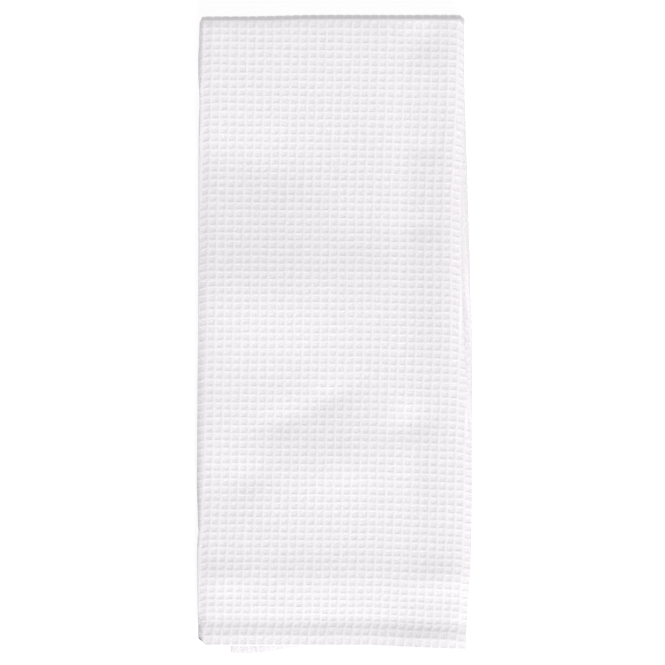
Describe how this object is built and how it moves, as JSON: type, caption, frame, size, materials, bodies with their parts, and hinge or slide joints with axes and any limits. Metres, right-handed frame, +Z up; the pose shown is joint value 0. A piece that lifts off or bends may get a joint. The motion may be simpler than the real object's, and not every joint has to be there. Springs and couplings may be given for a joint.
{
  "type": "folded dish towel",
  "caption": "White waffle-weave cotton dish towel, hemmed all round, folded lengthwise in thirds and then in half, lying flat.",
  "frame": {"origin": "centre of the folded towel's footprint, on the surface it lies on", "axes": "+X to the right across the towel, +Y towards the thick fold, +Z up out of its face"},
  "size_m": [0.1554, 0.3602, 0.0147],
  "materials": {
    "waffle_cotton": "matt white cotton in a waffle weave of sunken square cells, about 4.9 by 4.3 mm, with narrow raised ribs"
  },
  "bodies": {
    "root": {"dish_towel": "waffle_cotton"}
  },
  "joints": []
}
